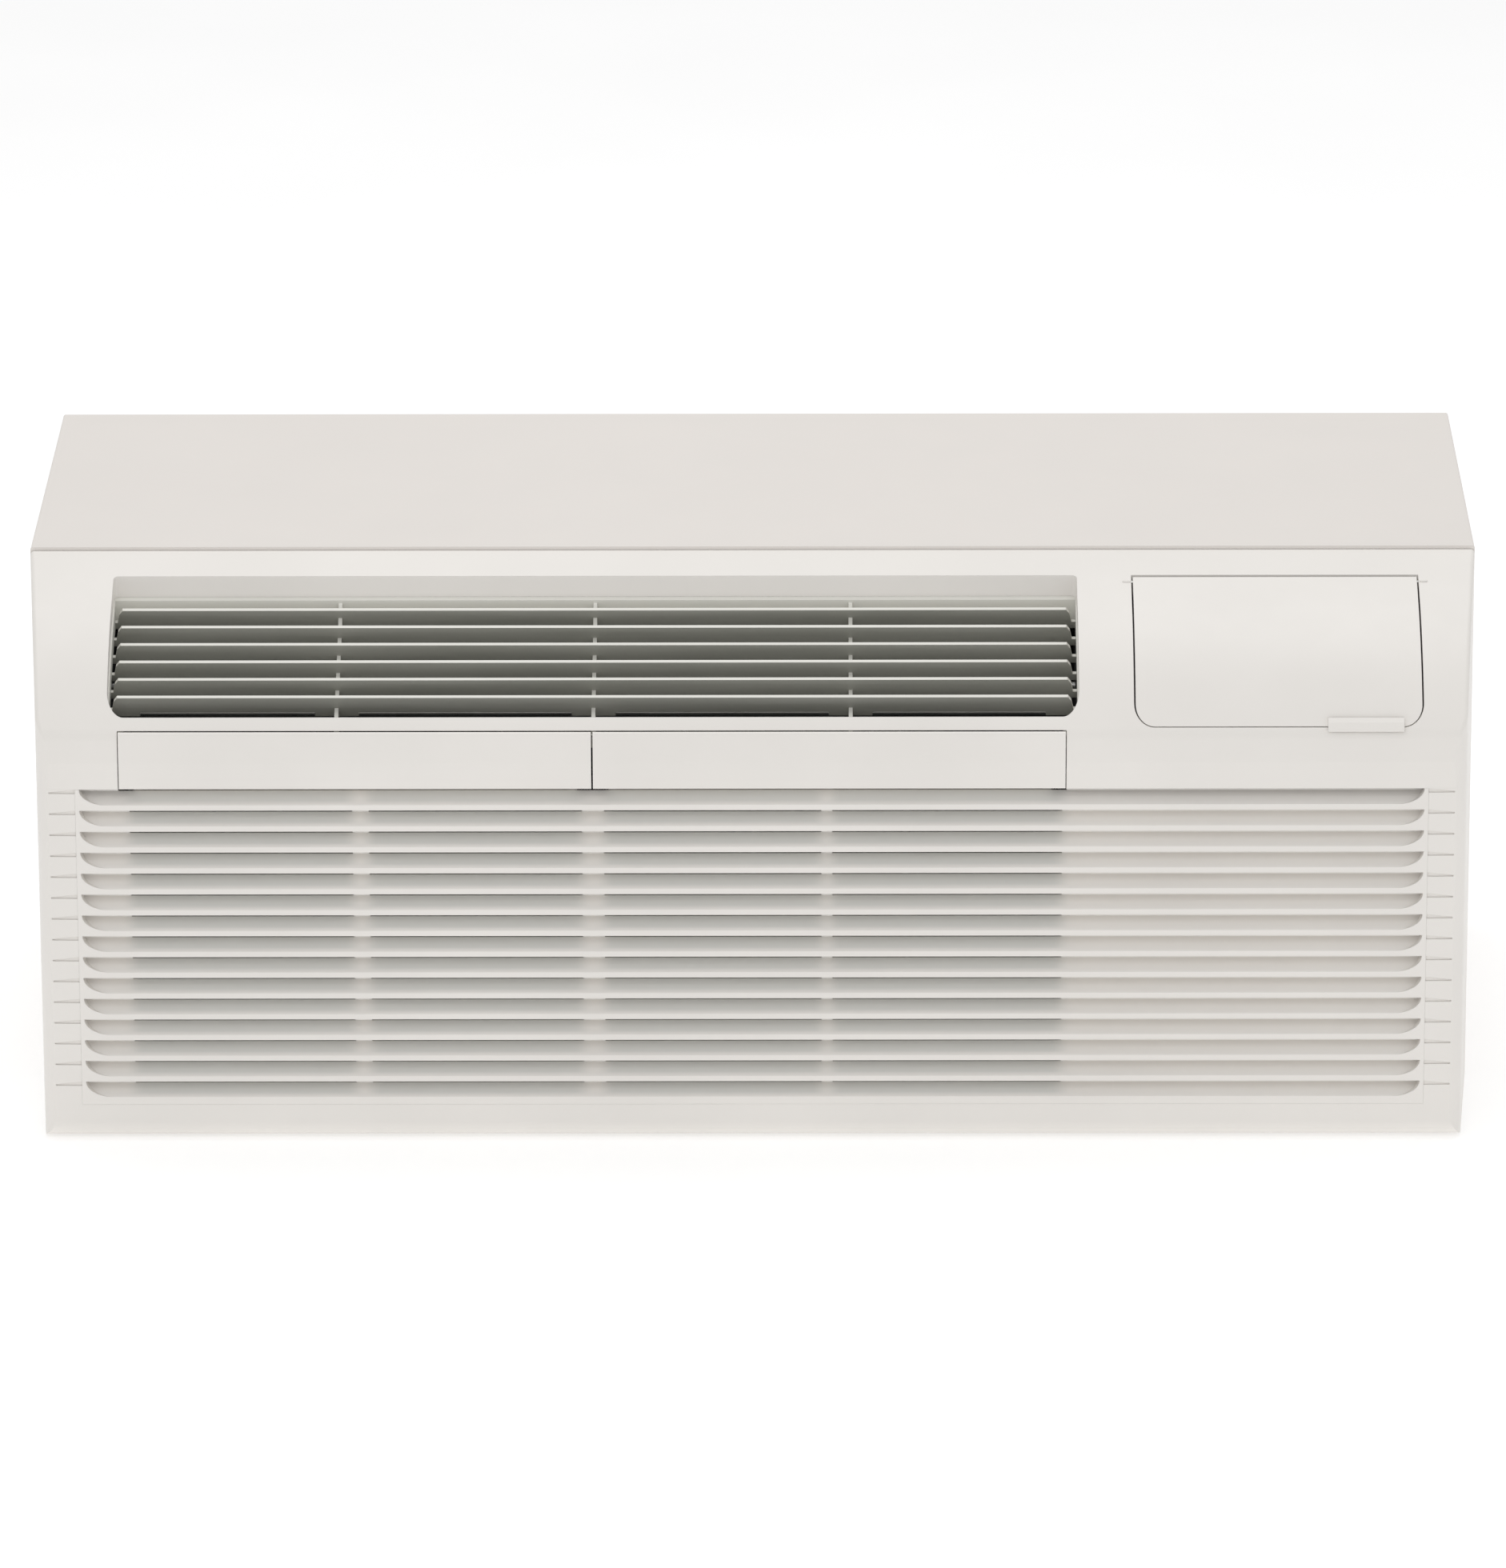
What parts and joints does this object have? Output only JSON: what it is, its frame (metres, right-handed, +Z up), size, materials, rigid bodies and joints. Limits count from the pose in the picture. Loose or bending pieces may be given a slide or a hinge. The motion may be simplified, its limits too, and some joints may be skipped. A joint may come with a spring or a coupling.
{
  "type": "through-the-wall air conditioner",
  "caption": "Room cabinet with sloping louvred top, control door, lift-out filters and return grille, on a slide-out chassis in a wall sleeve",
  "frame": {"origin": "middle of the base rectangle, on the floor plane of the wall sleeve", "axes": "+X along the cabinet to the right as seen from the room, -Y towards the room, +Z up"},
  "size_m": [1.067, 0.5159, 0.413],
  "materials": {
    "sleeve_paint": "smooth baked enamel, satin",
    "cover_plastic": "warm white moulded plastic, fine grain",
    "louvre_plastic": "warm white moulded plastic, fine grain",
    "inner_plastic": "light grey moulded plastic",
    "foam_plastic": "expanded polystyrene",
    "net": "dark plastic net",
    "galvanised": "galvanised sheet",
    "screw_steel": "zinc plated",
    "grille_aluminium": "anodised, satin",
    "fin_aluminium": "pressed fins",
    "copper": "drawn copper, lightly tarnished",
    "black_rubber": "matt rubber",
    "seal_foam": "closed-cell foam",
    "black_plastic": "glass-filled plastic",
    "compressor_paint": "black enamel",
    "motor_paint": "grey enamel",
    "board_green": "circuit board",
    "display": "smoked window",
    "button_plastic": "grey rubberised keys"
  },
  "bodies": {
    "sleeve": {"wall_sleeve": "sleeve_paint", "outdoor_grille": "grille_aluminium", "grille_screws": "screw_steel"},
    "cover": {"front_cover": "cover_plastic", "return_grille": "cover_plastic", "discharge_louvre": "louvre_plastic", "filter_rails": "inner_plastic"},
    "door": {"control_door": "cover_plastic", "door_pins": "screw_steel"},
    "filter_left": {"filter_handle_left": "cover_plastic", "filter_frame_left": "inner_plastic", "filter_net_left": "net"},
    "filter_right": {"filter_handle_right": "cover_plastic", "filter_frame_right": "inner_plastic", "filter_net_right": "net"},
    "blower": {"blower_wheel": "black_plastic", "blower_shaft": "screw_steel"},
    "outdoor_fan": {"outdoor_fan": "black_plastic", "outdoor_fan_shaft": "screw_steel"},
    "vent_rod": {"vent_rod": "black_plastic"},
    "vent_door": {"vent_door": "galvanised"},
    "button_power": {"button_power": "button_plastic"},
    "button_mode": {"button_mode": "button_plastic"},
    "button_fan": {"button_fan": "button_plastic"},
    "button_warmer": {"button_warmer": "button_plastic"},
    "button_cooler": {"button_cooler": "button_plastic"},
    "chassis": {"accumulator": "compressor_paint", "base_pan": "galvanised", "blower_bearing": "black_rubber", "blower_motor": "motor_paint", "bulkhead": "galvanised", "capillary": "copper", "chassis_seals": "seal_foam", "compressor": "compressor_paint", "compressor_feet": "black_rubber", "compressor_studs": "screw_steel", "control_board": "board_green", "control_box": "galvanised", "control_panel": "inner_plastic", "cord_bushing": "black_rubber", "discharge_line": "copper", "display_window": "display", "drain_tray": "inner_plastic", "fan_motor_stand": "galvanised", "fan_shroud": "galvanised", "filter_drier": "copper", "heater_rods": "screw_steel", "indoor_coil": "fin_aluminium", "indoor_coil_bends": "copper", "line_grommets": "black_rubber", "liquid_line": "copper", "motor_cradle": "galvanised", "outdoor_coil": "fin_aluminium", "outdoor_coil_bends": "copper", "outdoor_fan_motor": "motor_paint", "run_capacitor": "screw_steel", "scroll_housing": "foam_plastic", "suction_line": "copper", "terminal_block": "black_plastic", "vent_hinge": "screw_steel"}
  },
  "joints": [
    {"name": "chassis_slide", "type": "slide", "parent": "sleeve", "child": "chassis", "axis": [0, -1, 0], "range_m": [0, 0.35]},
    {"name": "cover_pull", "type": "slide", "parent": "chassis", "child": "cover", "axis": [0, -1, 0], "range_m": [0, 0.16]},
    {"name": "control_door_hinge", "type": "hinge", "parent": "cover", "child": "door", "pos_m": [0.3846, -0.1463, 0.39578], "axis": [-1, 0, 0], "range_deg": [0, 110]},
    {"name": "filter_left_slide", "type": "slide", "parent": "cover", "child": "filter_left", "axis": [0, -0.2924, 0.9563], "range_m": [0, 0.235]},
    {"name": "filter_right_slide", "type": "slide", "parent": "cover", "child": "filter_right", "axis": [0, -0.2924, 0.9563], "range_m": [0, 0.235]},
    {"name": "blower_spin", "type": "hinge", "parent": "chassis", "child": "blower", "pos_m": [-0.118, -0.105, 0.235], "axis": [1, 0, 0], "continuous": true},
    {"name": "outdoor_fan_spin", "type": "hinge", "parent": "chassis", "child": "outdoor_fan", "pos_m": [0.06, 0.14, 0.206], "axis": [0, 1, 0], "continuous": true},
    {"name": "vent_rod_pull", "type": "slide", "parent": "chassis", "child": "vent_rod", "axis": [0, -1, 0], "range_m": [0, 0.0104]},
    {"name": "vent_door_swing", "type": "hinge", "parent": "chassis", "child": "vent_door", "pos_m": [-0.499, -0.0333, 0.192], "axis": [1, 0, 0], "range_deg": [0, 30]},
    {"name": "press_power", "type": "slide", "parent": "chassis", "child": "button_power", "axis": [0, 0.557, -0.8305], "range_m": [0, 0.0012], "stiffness_N_per_m": 400, "springref_m": -0.001},
    {"name": "press_mode", "type": "slide", "parent": "chassis", "child": "button_mode", "axis": [0, 0.557, -0.8305], "range_m": [0, 0.0012], "stiffness_N_per_m": 400, "springref_m": -0.001},
    {"name": "press_fan", "type": "slide", "parent": "chassis", "child": "button_fan", "axis": [0, 0.557, -0.8305], "range_m": [0, 0.0012], "stiffness_N_per_m": 400, "springref_m": -0.001},
    {"name": "press_warmer", "type": "slide", "parent": "chassis", "child": "button_warmer", "axis": [0, 0.557, -0.8305], "range_m": [0, 0.0012], "stiffness_N_per_m": 400, "springref_m": -0.001},
    {"name": "press_cooler", "type": "slide", "parent": "chassis", "child": "button_cooler", "axis": [0, 0.557, -0.8305], "range_m": [0, 0.0012], "stiffness_N_per_m": 400, "springref_m": -0.001}
  ],
  "couplings": [
    {"joint": "vent_door_swing", "follows": "vent_rod_pull", "rad_per_m": 50}
  ]
}
